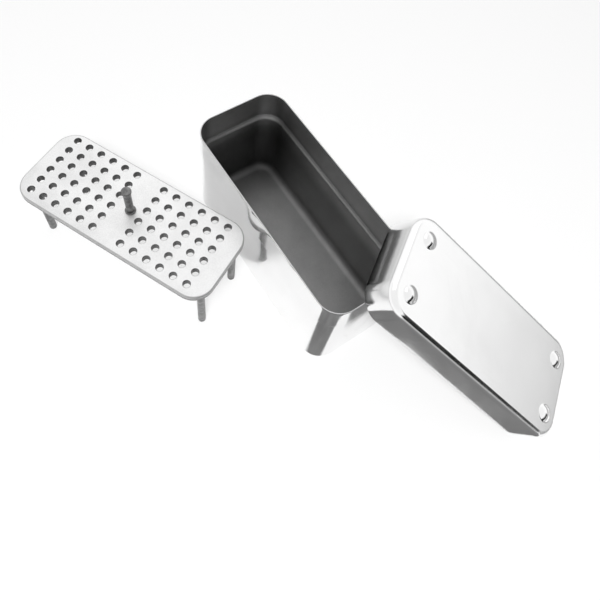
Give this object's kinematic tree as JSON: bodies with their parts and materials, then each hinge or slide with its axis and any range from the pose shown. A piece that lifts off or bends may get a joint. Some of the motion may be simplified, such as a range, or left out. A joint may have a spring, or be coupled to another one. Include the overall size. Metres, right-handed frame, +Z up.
{
  "type": "sterilization container",
  "caption": "Drawn steel sterilization box with a banded mouth, a slip-on lid leaning on it, and a drilled tray on legs with a lifting post.",
  "frame": {"origin": "underside of the box, in the middle of its flat base", "axes": "+Z up out of the box's mouth, +X along the box's long side towards the end that the lid leans on, +Y across the box towards the lid's side"},
  "size_m": [0.1967, 0.156, 0.0647],
  "materials": {
    "box_steel": "polished drawn stainless sheet",
    "lid_steel": "polished drawn stainless sheet",
    "tray_aluminium": "fine satin anodised plate",
    "leg_steel": "turned rod",
    "post_steel": "turned rod"
  },
  "bodies": {
    "box": {"box_body": "box_steel"},
    "lid": {"lid": "lid_steel"},
    "tray": {"tray_plate": "tray_aluminium", "leg_near_left": "leg_steel", "leg_near_right": "leg_steel", "leg_far_left": "leg_steel", "leg_far_right": "leg_steel", "lifting_post": "post_steel"}
  },
  "joints": [
    {"name": "lid_lift", "type": "slide", "parent": "box", "child": "lid", "axis": [0, 0, 1], "range_m": [0, 0.06]},
    {"name": "tray_lift", "type": "slide", "parent": "box", "child": "tray", "axis": [0, 0, 1], "range_m": [0, 0.06]}
  ]
}
